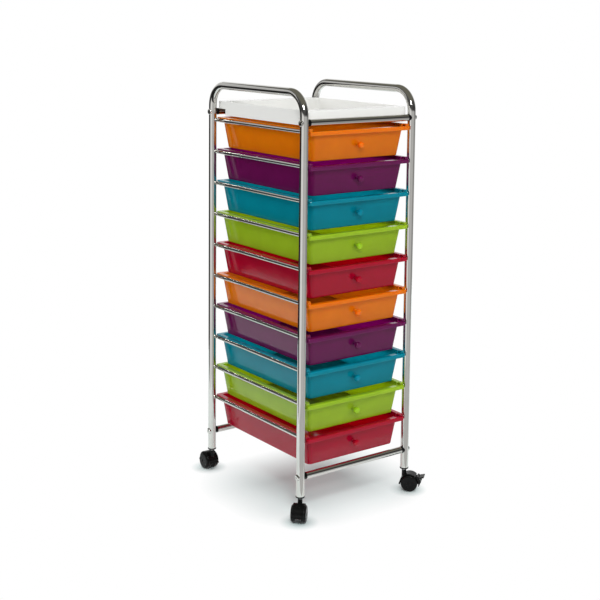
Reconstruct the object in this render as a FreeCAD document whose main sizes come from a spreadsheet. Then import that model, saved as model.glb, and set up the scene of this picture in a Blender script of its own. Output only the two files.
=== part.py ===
import FreeCAD, Part
import math
import os

import Sketcher
from FreeCAD import Placement, Rotation, Vector

# A rolling cart: two bent chrome side frames joined by four cross bars, with ten sliding
# drawer bins, a tray on top and four swivelling casters, each with a pair of wheels.
# Origin on the floor at the middle of the four legs, +X to the right, +Y to the back, +Z up.

DRAWER_COUNT = 10

# Two positions closer than this are the same
SAME = 1e-6

# Driving sizes, in millimetres and degrees
SIZES = {
    # Side frames
    "leg_spread": 308,
    "leg_depth": 368,
    "tube_diameter": 19,
    "tube_wall": 1.2,
    "handle_height": 955,
    "handle_bend": 50,
    "leg_bottom": 55,
    # Drawer rails
    "rail_diameter": 10,
    "rail_wall": 1,
    "rail_drop": 21.2,
    "rail_overhang": 1,
    # Cross bars, their end collars and bolts
    "bar_diameter": 16,
    "bar_wall": 1.2,
    "bar_drop": 64.6,
    "bar_lift": 8.3,
    "collar_length": 4.5,
    "plug_length": 14,
    "plug_fit": 0.05,
    "bolt_diameter": 5,
    "bolt_fit": 0.05,
    "bolt_hole_room": 0.3,
    "bolt_grip": 10,
    "bolt_head_diameter": 14,
    "bolt_head_height": 2.4,
    "bolt_head_round": 2,
    # Top tray
    "tray_rise": 17.6,
    "tray_drop": 15.4,
    "tray_wall": 2.5,
    "tray_floor": 2.5,
    "tray_leg_room": 1.5,
    "tray_setback": 2,
    "tray_corner": 12,
    "tray_edge": 1,
    "pan_inset": 29,
    "pan_corner": 10,
    "rib_thickness": 2,
    "rib_distance": 90,
    "rib_bar_room": 0.5,
    # Drawer bins
    "slide_room": 0.3,
    "rail_room": 0.7,
    "rail_end_room": 1,
    "leg_room": 2.5,
    "stack_room": 2.9,
    "bin_bar_room": 8.6,
    "lip_proud": 0.5,
    "lip_reach": 10,
    "lip_drop": 5.6,
    "lip_height": 8.8,
    "lip_thickness": 2.2,
    "lip_round": 2,
    "rim_thickness": 2.5,
    "rim_corner": 4,
    "rear_rim_width": 8,
    "bin_taper": 10.5,
    "bin_wall": 2.2,
    "bin_floor": 2.2,
    "bin_top_corner": 12,
    "bin_bottom_corner": 9,
    "bin_bottom_edge": 3,
    # Drawer knobs and their screws
    "knob_drop": 37,
    "knob_base_diameter": 11,
    "knob_base_thickness": 2,
    "knob_neck_diameter": 8,
    "knob_neck_length": 7,
    "knob_head_diameter": 15,
    "knob_head_length": 8,
    "knob_front_round": 4.5,
    "knob_back_round": 2,
    "screw_diameter": 3.6,
    "screw_fit": 0.05,
    "screw_hole_room": 0.5,
    "screw_grip": 9,
    "screw_end_room": 0.5,
    "screw_head_diameter": 8,
    "screw_head_height": 2,
    # Leg sockets and caster stems
    "socket_flange_diameter": 20.5,
    "socket_flange_thickness": 3,
    "socket_flange_round": 1,
    "socket_depth": 36,
    "socket_fit": 0.05,
    "stem_diameter": 7,
    "stem_fit": 0.05,
    "stem_depth": 30,
    "stem_reach": 22,
    "stem_collar_diameter": 10,
    "stem_collar_height": 2.5,
    # Casters
    "caster_trail": 14,
    "swivel_room": 0.3,
    "neck_diameter": 11,
    "neck_foot": 4,
    "wheel_diameter": 40,
    "wheel_width": 11,
    "wheel_shoulder": 5,
    "wheel_dimple_diameter": 9,
    "wheel_dimple_depth": 0.8,
    "wheel_neck_room": 1,
    "hub_diameter": 12,
    "hub_room": 0.4,
    "axle_diameter": 5,
    "axle_fit": 0.05,
    "axle_end_room": 0.3,
    "axle_depth": 8,
    "hood_room": 1.2,
    "hood_thickness": 1.6,
    "hood_width": 27,
    "hood_edge": 1.2,
    "hood_front_angle": 98,
    "hood_back_angle": 98,
    "braked_hood_back_angle": 42,
    "bumper_depth": 1.5,
    "bumper_height": 4,
    "bumper_notch": 5,
    "web_thickness": 9,
    "boss_diameter": 12,
    "front_left_turn": 225,
    "front_right_turn": 310,
    "rear_left_turn": 90,
    "rear_right_turn": 25,
    # Brake levers
    "pivot_diameter": 3,
    "pivot_fit": 0.05,
    "pivot_lift": 1.8,
    "pivot_angle": 54,
    "knuckle_diameter": 6.4,
    "lever_width": 22,
    "lever_room": 0.5,
    "pedal_length": 15,
    "pedal_thickness": 3,
    "pedal_slope": 2.5,
    "pedal_knuckle_room": 0.7,
    "claw_root_angle": 60,
    "claw_root_room": 1.6,
    "claw_tip_room": 3,
    "claw_tip_thickness": 1.2,
    "claw_back_room": 9,
    "claw_tip_angle": 106,
}

doc = FreeCAD.newDocument("rolling_drawer_cart")
sheet = doc.addObject("Spreadsheet::Sheet", "sizes")
for row, (name, size) in enumerate(SIZES.items(), start=1):
    sheet.set(f"A{row}", name)
    sheet.set(f"B{row}", str(size))
    sheet.setAlias(f"B{row}", name)
doc.recompute()


def size_of(expression):
    """Return the number that a sheet expression stands for."""
    return float(sheet.evalExpression(expression))


def cell(name):
    """Return the expression that reads one cell of the sheet."""
    return f"sizes.{name}"


def half(name):
    """Return the expression for half of a cell, such as the radius of a diameter."""
    return f"(sizes.{name} / 2)"


def total(*terms):
    """Return the expression for a sum of terms."""
    return "(" + " + ".join(terms) + ")"


def less(first, *terms):
    """Return the expression for a first term minus the others."""
    return "(" + " - ".join((first, *terms)) + ")"


# Sketch helpers


def constrain(sketch, expression, kind, *places):
    """Add a dimension to a sketch and bind it to the sheet."""
    index = sketch.addConstraint(Sketcher.Constraint(kind, *places, size_of(expression)))
    sketch.setExpression(f"Constraints[{index}]", expression)


def hold_point(sketch, geometry, point, across, up):
    """Dimension a point of a sketch from the sketch's origin in both directions."""
    for expression, kind, axis in ((across, "DistanceX", -2), (up, "DistanceY", -1)):
        if size_of(expression) == 0:
            sketch.addConstraint(Sketcher.Constraint("PointOnObject", geometry, point, axis))
        else:
            constrain(sketch, expression, kind, -1, 1, geometry, point)


def new_sketch(body, name, plane_role, offset="0"):
    """Make a sketch on one of a body's own origin planes, moved along the plane's normal."""
    sketch = body.newObject("Sketcher::SketchObject", name)
    plane = next(item for item in body.Origin.OriginFeatures if item.Role == plane_role)
    sketch.AttachmentSupport = [(plane, "")]
    sketch.MapMode = "FlatFace"
    if offset != "0":
        sketch.AttachmentOffset = Placement(Vector(0, 0, size_of(offset)), Rotation())
        sketch.setExpression("AttachmentOffset.Base.z", offset)
    return sketch


def draw_circle(sketch, across, up, radius):
    centre = Vector(size_of(across), size_of(up), 0)
    index = sketch.addGeometry(Part.Circle(centre, Vector(0, 0, 1), size_of(radius)))
    hold_point(sketch, index, 3, across, up)
    constrain(sketch, radius, "Radius", index)


def draw_polygon(sketch, corners):
    """Draw straight sides through the corners, with every corner dimensioned."""
    spots = [Vector(size_of(across), size_of(up), 0) for across, up in corners]
    lines = []
    for index, spot in enumerate(spots):
        following = spots[(index + 1) % len(spots)]
        lines.append(sketch.addGeometry(Part.LineSegment(spot, following)))
    for index, line in enumerate(lines):
        sketch.addConstraint(Sketcher.Constraint("Coincident", lines[index - 1], 2, line, 1))
        hold_point(sketch, line, 1, *corners[index])


def draw_stepped(sketch, corners):
    """Draw a closed outline of level and upright sides, each corner with its own rounding or none."""
    spots = [Vector(size_of(across), size_of(up), 0) for across, up, _ in corners]
    count = len(corners)
    starts = []
    ends = []
    arcs = []
    for index, (_, _, rounding) in enumerate(corners):
        spot = spots[index]
        if rounding is None:
            starts.append(spot)
            ends.append(spot)
            arcs.append(None)
            continue
        radius = size_of(rounding)
        back = (spots[index - 1] - spot).normalize() * radius
        ahead = (spots[(index + 1) % count] - spot).normalize() * radius
        ends.append(spot + back)
        starts.append(spot + ahead)
        arcs.append((spot + back + ahead, radius))
    lines = []
    for index in range(count):
        lines.append(sketch.addGeometry(Part.LineSegment(starts[index], ends[(index + 1) % count])))
    for index in range(count):
        following = (index + 1) % count
        level = corners[index][1] == corners[following][1]
        line = lines[index]
        sketch.addConstraint(Sketcher.Constraint("Horizontal" if level else "Vertical", line))
        expression = corners[index][1] if level else corners[index][0]
        if size_of(expression) == 0:
            sketch.addConstraint(Sketcher.Constraint("PointOnObject", line, 1, -1 if level else -2))
        else:
            constrain(sketch, expression, "DistanceY" if level else "DistanceX", -1, 1, line, 1)
    for index, arc in enumerate(arcs):
        before = lines[index - 1]
        after = lines[index]
        if arc is None:
            sketch.addConstraint(Sketcher.Constraint("Coincident", before, 2, after, 1))
            continue
        centre, radius = arc
        come = ends[index] - centre
        leave = starts[index] - centre
        turns_left = come.cross(leave).z > 0
        first, last = (come, leave) if turns_left else (leave, come)
        angle_from = math.atan2(first.y, first.x)
        angle_to = math.atan2(last.y, last.x)
        circle = Part.Circle(centre, Vector(0, 0, 1), radius)
        curve = sketch.addGeometry(Part.ArcOfCircle(circle, angle_from, angle_to))
        sketch.addConstraint(Sketcher.Constraint("Tangent", before, 2, curve, 1 if turns_left else 2))
        sketch.addConstraint(Sketcher.Constraint("Tangent", curve, 2 if turns_left else 1, after, 1))
        constrain(sketch, corners[index][2], "Radius", curve)


def draw_rounded_rectangle(sketch, low_across, high_across, low_up, high_up, rounding):
    corners = [
        (low_across, low_up, rounding),
        (high_across, low_up, rounding),
        (high_across, high_up, rounding),
        (low_across, high_up, rounding),
    ]
    draw_stepped(sketch, corners)


# Feature helpers


def new_body(label):
    body = doc.addObject("PartDesign::Body", label)
    body.Label = label
    return body


def extrude(body, kind, sketch, length, both_sides=False, reverse=False):
    """Pad or pocket a sketch, on both sides of its plane or on one."""
    feature = body.newObject(f"PartDesign::{kind}", f"{sketch.Name}_{kind.lower()}")
    feature.Profile = sketch
    feature.SideType = "Symmetric" if both_sides else "One side"
    feature.Reversed = reverse
    feature.setExpression("Length", length)
    return feature


def revolve(body, sketch, axis_name, angle="360", angle_other_way=None):
    """Turn a sketch about one of its own axes, a full turn or by two angles from its plane."""
    feature = body.newObject("PartDesign::Revolution", f"{sketch.Name}_turned")
    feature.Profile = sketch
    feature.ReferenceAxis = (sketch, [axis_name])
    if angle_other_way is None:
        feature.setExpression("Angle", angle)
    else:
        feature.Type = "TwoAngles"
        feature.setExpression("Angle", angle)
        feature.setExpression("Angle2", angle_other_way)
    return feature


def loft(body, kind, name, first, second):
    feature = body.newObject(f"PartDesign::{kind}", name)
    feature.Profile = first
    feature.Sections = [second]
    feature.Ruled = True
    return feature


def place(thing, across="0", deep="0", high="0", axis=None, turn=None):
    """Set an object's place, and its turn about one axis, from the sheet."""
    rotation = Rotation()
    if axis is not None:
        rotation = Rotation(axis, size_of(turn))
    spot = Vector(size_of(across), size_of(deep), size_of(high))
    thing.Placement = Placement(spot, rotation)
    for letter, expression in (("x", across), ("y", deep), ("z", high)):
        if expression != "0":
            thing.setExpression(f"Placement.Base.{letter}", expression)
    if axis is not None:
        thing.setExpression("Placement.Rotation.Angle", f"({turn}) * 1 deg")


def copy_of(thing, name, **spot):
    """Make a linked copy of an object at a place of its own."""
    link = doc.addObject("App::Link", name)
    link.LinkedObject = thing
    place(link, **spot)
    return link


def group(label, members):
    """Collect identical pieces as separate solids of one node."""
    compound = doc.addObject("Part::Compound", label)
    compound.Label = label
    compound.Links = members
    return compound


nodes = []
UP = Vector(0, 0, 1)
RIGHT = Vector(1, 0, 0)
BACK = Vector(0, 1, 0)

# Shared places, worked out from the sheet

LEG_X = half("leg_spread")
LEG_Y = half("leg_depth")
TUBE_RADIUS = half("tube_diameter")
TUBE_BORE = less(TUBE_RADIUS, cell("tube_wall"))
LEG_INNER_X = less(LEG_X, TUBE_RADIUS)
RAIL_RADIUS = half("rail_diameter")
RAIL_X = less(LEG_INNER_X, RAIL_RADIUS)
BAR_RADIUS = half("bar_diameter")
BAR_BORE = less(BAR_RADIUS, cell("bar_wall"))
TOP_BAR = less(cell("handle_height"), cell("bar_drop"))
BOTTOM_BAR = total(cell("leg_bottom"), cell("socket_depth"), cell("bar_lift"))
BAR_HEIGHTS = {"top": TOP_BAR, "bottom": BOTTOM_BAR}
BOLT_RADIUS = half("bolt_diameter")
SIDES = {"left": "-1", "right": "1"}
ENDS = {"front": "-1", "rear": "1"}


def mirrored(sign, expression):
    """Return an expression for the chosen side of the middle plane."""
    return expression if sign == "1" else f"(-1 * {expression})"


# Side frames: one tube each, bent into two legs and a handle, with cross holes for the bar bolts


def make_frame_tube(side):
    body = new_body(f"{side}_frame_tube")
    path = new_sketch(body, f"{side}_frame_path", "YZ_Plane")
    leg_y = size_of(LEG_Y)
    low = size_of(cell("leg_bottom"))
    high = size_of(cell("handle_height"))
    bend = size_of(cell("handle_bend"))
    quarter = math.pi / 2
    flat = Vector(0, 0, 1)
    front_centre = Vector(bend - leg_y, high - bend, 0)
    rear_centre = Vector(leg_y - bend, high - bend, 0)
    path.addGeometry(Part.LineSegment(Vector(-leg_y, low, 0), Vector(-leg_y, high - bend, 0)))
    path.addGeometry(Part.ArcOfCircle(Part.Circle(front_centre, flat, bend), quarter, 2 * quarter))
    path.addGeometry(Part.LineSegment(Vector(bend - leg_y, high, 0), Vector(leg_y - bend, high, 0)))
    path.addGeometry(Part.ArcOfCircle(Part.Circle(rear_centre, flat, bend), 0, quarter))
    path.addGeometry(Part.LineSegment(Vector(leg_y, high - bend, 0), Vector(leg_y, low, 0)))
    for first, first_end, second, second_end in ((0, 2, 1, 2), (1, 1, 2, 1), (2, 2, 3, 2), (3, 1, 4, 1)):
        path.addConstraint(Sketcher.Constraint("Tangent", first, first_end, second, second_end))
    path.addConstraint(Sketcher.Constraint("Vertical", 0))
    path.addConstraint(Sketcher.Constraint("Horizontal", 2))
    path.addConstraint(Sketcher.Constraint("Vertical", 4))
    path.addConstraint(Sketcher.Constraint("Equal", 1, 3))
    hold_point(path, 0, 1, mirrored("-1", LEG_Y), cell("leg_bottom"))
    hold_point(path, 4, 2, LEG_Y, cell("leg_bottom"))
    constrain(path, cell("handle_height"), "DistanceY", -1, 1, 2, 1)
    constrain(path, cell("handle_bend"), "Radius", 1)
    ring = new_sketch(body, f"{side}_frame_ring", "XY_Plane", cell("leg_bottom"))
    draw_circle(ring, "0", mirrored("-1", LEG_Y), TUBE_RADIUS)
    draw_circle(ring, "0", mirrored("-1", LEG_Y), TUBE_BORE)
    pipe = body.newObject("PartDesign::AdditivePipe", f"{side}_frame_pipe")
    pipe.Profile = ring
    pipe.Spine = (path, [])
    holes = new_sketch(body, f"{side}_frame_holes", "YZ_Plane")
    hole_radius = total(BOLT_RADIUS, cell("bolt_hole_room"))
    for end in ENDS.values():
        for height in BAR_HEIGHTS.values():
            draw_circle(holes, mirrored(end, LEG_Y), height, hole_radius)
    extrude(body, "Pocket", holes, total(cell("tube_diameter"), cell("tube_wall")), both_sides=True)
    place(body, across=mirrored(SIDES[side], LEG_X))
    nodes.append(body)


for side in SIDES:
    make_frame_tube(side)

# Drawer rails: round tubes welded to the inner faces of the legs, from front leg to rear leg.
# Their pitch shares the height between the cross bars among the drawers.

TOP_RAIL = less(TOP_BAR, cell("rail_drop"))
RIM_LIFT = total(RAIL_RADIUS, cell("slide_room"))
STACK_GAP = total(cell("rim_thickness"), cell("stack_room"))
LOWEST_BIN_FLOOR = total(BOTTOM_BAR, BAR_RADIUS, cell("bin_bar_room"))
RAIL_PITCH = f"(({less(total(TOP_RAIL, RIM_LIFT, STACK_GAP), LOWEST_BIN_FLOOR)}) / {DRAWER_COUNT})"

rail = new_body("drawer_rail")
rail_ring = new_sketch(rail, "rail_ring", "XZ_Plane")
draw_circle(rail_ring, "0", "0", RAIL_RADIUS)
draw_circle(rail_ring, "0", "0", less(RAIL_RADIUS, cell("rail_wall")))
RAIL_LENGTH = total(cell("leg_depth"), f"2 * {cell('rail_overhang')}")
extrude(rail, "Pad", rail_ring, RAIL_LENGTH, both_sides=True)


def rail_height(index):
    return less(TOP_RAIL, f"{index} * {RAIL_PITCH}")


for side, sign in SIDES.items():
    rails = []
    for index in range(DRAWER_COUNT):
        spot = {"across": mirrored(sign, RAIL_X), "high": rail_height(index)}
        rails.append(copy_of(rail, f"{side}_rail_{index + 1}", **spot))
    nodes.append(group(f"{side}_drawer_rails", rails))

# Cross bars: straight tubes from collar to collar, one at the front and one at the rear

bar = new_body("cross_bar")
bar_ring = new_sketch(bar, "bar_ring", "YZ_Plane")
draw_circle(bar_ring, "0", "0", BAR_RADIUS)
draw_circle(bar_ring, "0", "0", BAR_BORE)
BAR_LENGTH = less(cell("leg_spread"), cell("tube_diameter"), f"2 * {cell('collar_length')}")
extrude(bar, "Pad", bar_ring, BAR_LENGTH, both_sides=True)
for level, height in BAR_HEIGHTS.items():
    bars = []
    for end, sign in ENDS.items():
        bars.append(copy_of(bar, f"{level}_{end}_bar", deep=mirrored(sign, LEG_Y), high=height))
    nodes.append(group(f"{level}_cross_bars", bars))

# Bar end collars: each has a plug inside the bar and a hollow end that saddles the leg

COLLAR_END = total(TUBE_RADIUS, cell("collar_length"))
collar = new_body("bar_end_collar")
collar_outline = new_sketch(collar, "collar_outline", "XY_Plane")
collar_bore = total(BOLT_RADIUS, cell("bolt_fit"))
plug_radius = less(BAR_BORE, cell("plug_fit"))
plug_end = total(COLLAR_END, cell("plug_length"))
draw_stepped(
    collar_outline,
    [
        ("0", collar_bore, None),
        (plug_end, collar_bore, None),
        (plug_end, plug_radius, None),
        (COLLAR_END, plug_radius, None),
        (COLLAR_END, BAR_RADIUS, None),
        ("0", BAR_RADIUS, None),
    ],
)
revolve(collar, collar_outline, "H_Axis")
saddle = new_sketch(collar, "collar_saddle", "XY_Plane")
draw_circle(saddle, "0", "0", TUBE_RADIUS)
extrude(collar, "Pocket", saddle, f"2 * {cell('bar_diameter')}", both_sides=True)

# Frame bolts: a low head that saddles the outside of the leg and a shank into the collar's plug

bolt = new_body("frame_bolt")
bolt_head = new_sketch(bolt, "bolt_head", "XY_Plane")
bolt_top = less(mirrored("-1", TUBE_RADIUS), cell("bolt_head_height"))
bolt_tip = total(COLLAR_END, cell("bolt_grip"))
draw_stepped(
    bolt_head,
    [
        (bolt_top, "0", None),
        ("0", "0", None),
        ("0", half("bolt_head_diameter"), None),
        (bolt_top, half("bolt_head_diameter"), cell("bolt_head_round")),
    ],
)
revolve(bolt, bolt_head, "H_Axis")
bolt_saddle = new_sketch(bolt, "bolt_saddle", "XY_Plane")
draw_circle(bolt_saddle, "0", "0", TUBE_RADIUS)
extrude(bolt, "Pocket", bolt_saddle, f"2 * {cell('bolt_head_diameter')}", both_sides=True)
bolt_shank = new_sketch(bolt, "bolt_shank", "YZ_Plane", mirrored("-1", TUBE_RADIUS))
draw_circle(bolt_shank, "0", "0", BOLT_RADIUS)
extrude(bolt, "Pad", bolt_shank, total(TUBE_RADIUS, bolt_tip))

collars = []
bolts = []
for side, side_sign in SIDES.items():
    for end, end_sign in ENDS.items():
        for level, height in BAR_HEIGHTS.items():
            spot = {"across": mirrored(side_sign, LEG_X), "deep": mirrored(end_sign, LEG_Y), "high": height}
            if side == "right":
                spot.update(axis=UP, turn="180")
            collars.append(copy_of(collar, f"collar_{side}_{end}_{level}", **spot))
            bolts.append(copy_of(bolt, f"bolt_{side}_{end}_{level}", **spot))
nodes.append(group("bar_end_collars", collars))
nodes.append(group("frame_bolts", bolts))

# Top tray: a pan that hangs between the upper cross bars from two hollow ledges that stand on them.
# Its own height 0 is the top of the bars, and its skirts reach down to the bars' round tops.

tray = new_body("top_tray")
TRAY_X = less(LEG_INNER_X, cell("tray_leg_room"))
TRAY_Y = less(LEG_Y, cell("tray_setback"))
PAN_Y = less(TRAY_Y, cell("pan_inset"))
SEAT_DROP = less(BAR_RADIUS, f"sqrt({BAR_RADIUS} ^ 2 - {cell('tray_setback')} ^ 2)")
TRAY_WALL = cell("tray_wall")


def draw_tray_outline(sketch, half_width, half_depth, rounding):
    sides = (mirrored("-1", half_width), half_width, mirrored("-1", half_depth), half_depth)
    draw_rounded_rectangle(sketch, *sides, rounding)


ledge = new_sketch(tray, "tray_ledge", "XY_Plane", cell("tray_rise"))
draw_tray_outline(ledge, TRAY_X, TRAY_Y, cell("tray_corner"))
extrude(tray, "Pad", ledge, total(cell("tray_rise"), SEAT_DROP), reverse=True)
pan = new_sketch(tray, "tray_pan", "XY_Plane")
draw_tray_outline(pan, TRAY_X, PAN_Y, cell("pan_corner"))
extrude(tray, "Pad", pan, cell("tray_drop"), reverse=True)
hollow = new_sketch(tray, "tray_hollow", "XY_Plane", cell("tray_rise"))
draw_tray_outline(
    hollow, less(TRAY_X, TRAY_WALL), less(PAN_Y, TRAY_WALL), less(cell("pan_corner"), TRAY_WALL)
)
hollow_depth = less(total(cell("tray_rise"), cell("tray_drop")), cell("tray_floor"))
extrude(tray, "Pocket", hollow, hollow_depth)
channel = new_sketch(tray, "tray_channel", "XY_Plane", mirrored("-1", SEAT_DROP))
channel_x = less(TRAY_X, TRAY_WALL)
channel_low = PAN_Y
channel_high = less(TRAY_Y, TRAY_WALL)
channel_round = less(cell("tray_corner"), TRAY_WALL)
for sign in ENDS.values():
    near = mirrored(sign, channel_low)
    far = mirrored(sign, channel_high)
    draw_stepped(
        channel,
        [
            (mirrored("-1", channel_x), near, None),
            (channel_x, near, None),
            (channel_x, far, channel_round),
            (mirrored("-1", channel_x), far, channel_round),
        ],
    )
extrude(tray, "Pocket", channel, less(total(cell("tray_rise"), SEAT_DROP), TRAY_WALL), reverse=True)

# Ribs across the ledges reach down behind the bars and keep the tray from shifting
rib_edge = less(less(LEG_Y, BAR_RADIUS), cell("rib_bar_room"))
rib_top = less(cell("tray_rise"), TRAY_WALL)
for place_number, offset in enumerate(("-1", "0", "1")):
    middle = f"({offset} * {cell('rib_distance')})"
    rib = new_sketch(tray, f"tray_rib_{place_number + 1}", "YZ_Plane", middle)
    for sign in ENDS.values():
        draw_stepped(
            rib,
            [
                (mirrored(sign, PAN_Y), mirrored("-1", BAR_RADIUS), None),
                (mirrored(sign, rib_edge), mirrored("-1", BAR_RADIUS), None),
                (mirrored(sign, rib_edge), rib_top, None),
                (mirrored(sign, PAN_Y), rib_top, None),
            ],
        )
    extrude(tray, "Pad", rib, cell("rib_thickness"), both_sides=True)
doc.recompute()
rim_edges = []
for index, edge in enumerate(tray.Tip.Shape.Edges, start=1):
    box = edge.BoundBox
    if abs(box.ZMin - size_of(cell("tray_rise"))) < SAME and box.ZLength < SAME:
        rim_edges.append(f"Edge{index}")
rim_fillet = tray.newObject("PartDesign::Fillet", "tray_rim_fillet")
rim_fillet.Base = (tray.Group[-2], rim_edges)
rim_fillet.setExpression("Radius", cell("tray_edge"))
place(tray, high=total(TOP_BAR, BAR_RADIUS))
nodes.append(tray)

# Drawer bins: tapered moulded boxes whose out-turned rim rests on the rails. At the front the rim steps down
# ahead of the rails' ends to a lower shelf, whose front edge and ends turn down as a lip.
# A bin's own height 0 is the underside of its rim.

BIN_DEPTH = less(RAIL_PITCH, STACK_GAP)
RIM_X = less(LEG_INNER_X, cell("leg_room"))
BIN_X = less(RAIL_X, RAIL_RADIUS, cell("rail_room"))
LIP_FRONT = total(LEG_Y, TUBE_RADIUS, cell("lip_proud"))
BIN_FRONT = less(LIP_FRONT, cell("lip_reach"))
RIM_REAR = total(LEG_Y, cell("rail_overhang"))
BIN_REAR = less(RIM_REAR, cell("rear_rim_width"))
TAPER = cell("bin_taper")
BIN_WALL = cell("bin_wall")
SHELF_TOP = less(cell("rim_thickness"), cell("lip_drop"))
SHELF_BACK = total(LEG_Y, cell("rail_overhang"), cell("rail_end_room"))
STEP_FRONT = total(SHELF_BACK, cell("lip_thickness"))


def draw_bin_section(sketch, inset, rounding):
    """Draw the bin's outline in plan, drawn in from its top edge by the same inset all round."""
    draw_rounded_rectangle(
        sketch,
        less(inset, BIN_X),
        less(BIN_X, inset),
        less(inset, BIN_FRONT),
        less(BIN_REAR, inset),
        rounding,
    )


def inset_at(height_below_rim):
    """Return the inset of the bin's tapered outside at a height below the rim's underside."""
    return f"({TAPER} * {height_below_rim} / {BIN_DEPTH})"


def draw_across(sketch, low_x, high_x, near, far):
    """Draw a plain rectangle in plan; near and far are distances ahead of the middle."""
    draw_stepped(
        sketch,
        [
            (low_x, mirrored("-1", near), None),
            (high_x, mirrored("-1", near), None),
            (high_x, mirrored("-1", far), None),
            (low_x, mirrored("-1", far), None),
        ],
    )


def make_lip(body, label):
    """Add the lower shelf ahead of the front wall, its lip and the steps up to the rim."""
    lip = new_sketch(body, f"{label}_lip", "XY_Plane", SHELF_TOP)
    draw_stepped(
        lip,
        [
            (mirrored("-1", RIM_X), mirrored("-1", LIP_FRONT), cell("rim_corner")),
            (RIM_X, mirrored("-1", LIP_FRONT), cell("rim_corner")),
            (RIM_X, mirrored("-1", SHELF_BACK), None),
            (mirrored("-1", RIM_X), mirrored("-1", SHELF_BACK), None),
        ],
    )
    extrude(body, "Pad", lip, cell("lip_height"), reverse=True)
    hollow = new_sketch(body, f"{label}_lip_hollow", "XY_Plane", less(SHELF_TOP, cell("lip_height")))
    hollow_x = less(RIM_X, cell("lip_thickness"))
    hollow_front = less(LIP_FRONT, cell("lip_thickness"))
    hollow_round = less(cell("rim_corner"), cell("lip_thickness"))
    draw_stepped(
        hollow,
        [
            (mirrored("-1", hollow_x), mirrored("-1", hollow_front), hollow_round),
            (hollow_x, mirrored("-1", hollow_front), hollow_round),
            (hollow_x, mirrored("-1", BIN_FRONT), None),
            (mirrored("-1", hollow_x), mirrored("-1", BIN_FRONT), None),
        ],
    )
    extrude(body, "Pocket", hollow, less(cell("lip_height"), cell("rim_thickness")), reverse=True)
    doc.recompute()
    base = body.Tip
    shelf_top = size_of(SHELF_TOP)
    front = size_of(cell("rim_corner")) - size_of(LIP_FRONT)
    lip_edges = []
    for index, edge in enumerate(base.Shape.Edges, start=1):
        box = edge.BoundBox
        level = abs(box.ZMin - shelf_top) < SAME and abs(box.ZMax - shelf_top) < SAME
        if level and box.YMax < front + SAME:
            lip_edges.append(f"Edge{index}")
    fillet = body.newObject("PartDesign::Fillet", f"{label}_lip_round")
    fillet.Base = (base, lip_edges)
    fillet.setExpression("Radius", cell("lip_round"))
    steps = new_sketch(body, f"{label}_steps", "XY_Plane", cell("rim_thickness"))
    draw_across(steps, mirrored("-1", RIM_X), mirrored("-1", BIN_X), STEP_FRONT, SHELF_BACK)
    draw_across(steps, BIN_X, RIM_X, STEP_FRONT, SHELF_BACK)
    extrude(body, "Pad", steps, total(cell("lip_drop"), cell("rim_thickness")), reverse=True)
    shelf = new_sketch(body, f"{label}_shelf", "XY_Plane", SHELF_TOP)
    draw_across(shelf, mirrored("-1", BIN_X), BIN_X, STEP_FRONT, less(BIN_FRONT, BIN_WALL))
    extrude(body, "Pad", shelf, cell("rim_thickness"), reverse=True)
    dip = new_sketch(body, f"{label}_front_dip", "XY_Plane", cell("rim_thickness"))
    draw_across(dip, mirrored("-1", BIN_X), BIN_X, LIP_FRONT, less(BIN_FRONT, f"2 * {BIN_WALL}"))
    extrude(body, "Pocket", dip, cell("lip_drop"))


def make_bin(label):
    body = new_body(label)
    top = new_sketch(body, f"{label}_top", "XY_Plane")
    draw_bin_section(top, "0", cell("bin_top_corner"))
    bottom = new_sketch(body, f"{label}_bottom", "XY_Plane", mirrored("-1", BIN_DEPTH))
    draw_bin_section(bottom, TAPER, cell("bin_bottom_corner"))
    loft(body, "AdditiveLoft", f"{label}_outside", top, bottom)
    doc.recompute()
    base = body.Tip
    floor_edges = []
    for index, edge in enumerate(base.Shape.Edges, start=1):
        if abs(edge.BoundBox.ZMax + size_of(BIN_DEPTH)) < SAME:
            floor_edges.append(f"Edge{index}")
    fillet = body.newObject("PartDesign::Fillet", f"{label}_floor_edge")
    fillet.Base = (base, floor_edges)
    fillet.setExpression("Radius", cell("bin_bottom_edge"))
    rim = new_sketch(body, f"{label}_rim", "XY_Plane")
    draw_stepped(
        rim,
        [
            (mirrored("-1", RIM_X), mirrored("-1", STEP_FRONT), None),
            (RIM_X, mirrored("-1", STEP_FRONT), None),
            (RIM_X, RIM_REAR, cell("rim_corner")),
            (mirrored("-1", RIM_X), RIM_REAR, cell("rim_corner")),
        ],
    )
    extrude(body, "Pad", rim, cell("rim_thickness"))
    make_lip(body, label)
    mouth = new_sketch(body, f"{label}_mouth", "XY_Plane", cell("rim_thickness"))
    mouth_inset = less(BIN_WALL, inset_at(cell("rim_thickness")))
    draw_bin_section(mouth, mouth_inset, less(cell("bin_top_corner"), BIN_WALL))
    inner_depth = less(BIN_DEPTH, cell("bin_floor"))
    floor = new_sketch(body, f"{label}_floor", "XY_Plane", mirrored("-1", inner_depth))
    floor_inset = total(BIN_WALL, inset_at(inner_depth))
    draw_bin_section(floor, floor_inset, less(cell("bin_bottom_corner"), BIN_WALL))
    loft(body, "SubtractiveLoft", f"{label}_inside", mouth, floor)
    hole = new_sketch(body, f"{label}_screw_hole", "XZ_Plane", LIP_FRONT)
    hole_radius = total(half("screw_diameter"), cell("screw_hole_room"))
    draw_circle(hole, "0", mirrored("-1", cell("knob_drop")), hole_radius)
    extrude(body, "Pocket", hole, total(cell("lip_reach"), TAPER, BIN_WALL))
    return body


# Knobs and screws stand square to the bin's sloping front, with their own height 0 on its outside

KNOB_TURN = f"(90 + atan({TAPER} / {BIN_DEPTH}) / 1 deg)"
KNOB_FRONT = less(inset_at(cell("knob_drop")), BIN_FRONT)
WALL_SQUARE = f"({BIN_WALL} * cos(atan({TAPER} / {BIN_DEPTH})))"
SCREW_RADIUS = half("screw_diameter")
SCREW_END = total(cell("screw_grip"), cell("screw_end_room"))


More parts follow.
